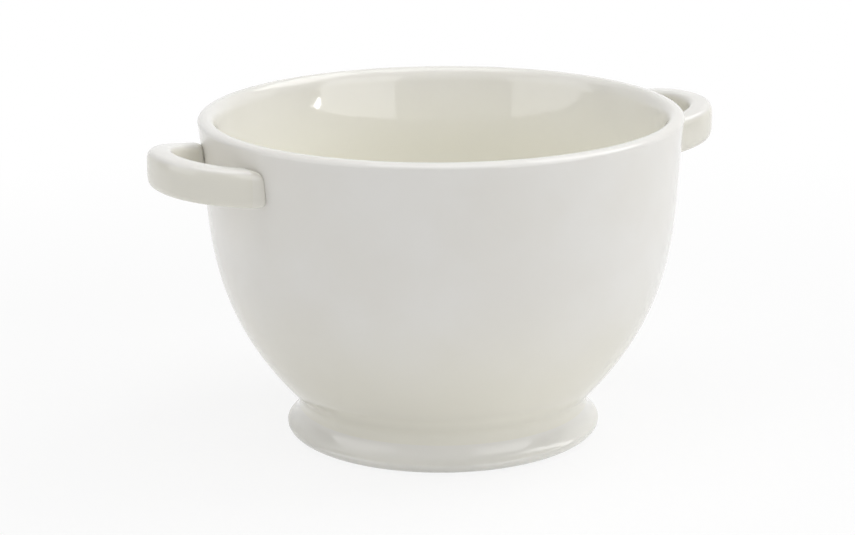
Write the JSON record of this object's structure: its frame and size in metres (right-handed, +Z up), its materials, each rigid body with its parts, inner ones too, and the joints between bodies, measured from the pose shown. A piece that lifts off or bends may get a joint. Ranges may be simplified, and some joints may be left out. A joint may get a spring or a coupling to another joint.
{
  "type": "bouillon cup",
  "caption": "Deep round soup cup of glazed stoneware with a round lip, a flared turned foot and a horizontal loop handle on each side.",
  "frame": {"origin": "on the cup's axis, in the plane that the foot stands on", "axes": "+Z up along the cup's axis, +X towards the right handle, +Y to the rear"},
  "size_m": [0.152, 0.12, 0.0815],
  "materials": {
    "bowl_glaze": "clear gloss glaze on an ivory body",
    "foot_glaze": "clear gloss glaze, bare on the standing ring",
    "handle_glaze": "clear gloss glaze on an ivory body",
    "slip": "fired slip under the same gloss glaze"
  },
  "bodies": {
    "root": {"bowl_body": "bowl_glaze", "foot_ring": "foot_glaze", "foot_slip_ring": "slip", "right_handle": "handle_glaze", "left_handle": "handle_glaze", "right_handle_front_slip": "slip", "right_handle_rear_slip": "slip", "left_handle_front_slip": "slip", "left_handle_rear_slip": "slip"}
  },
  "joints": []
}
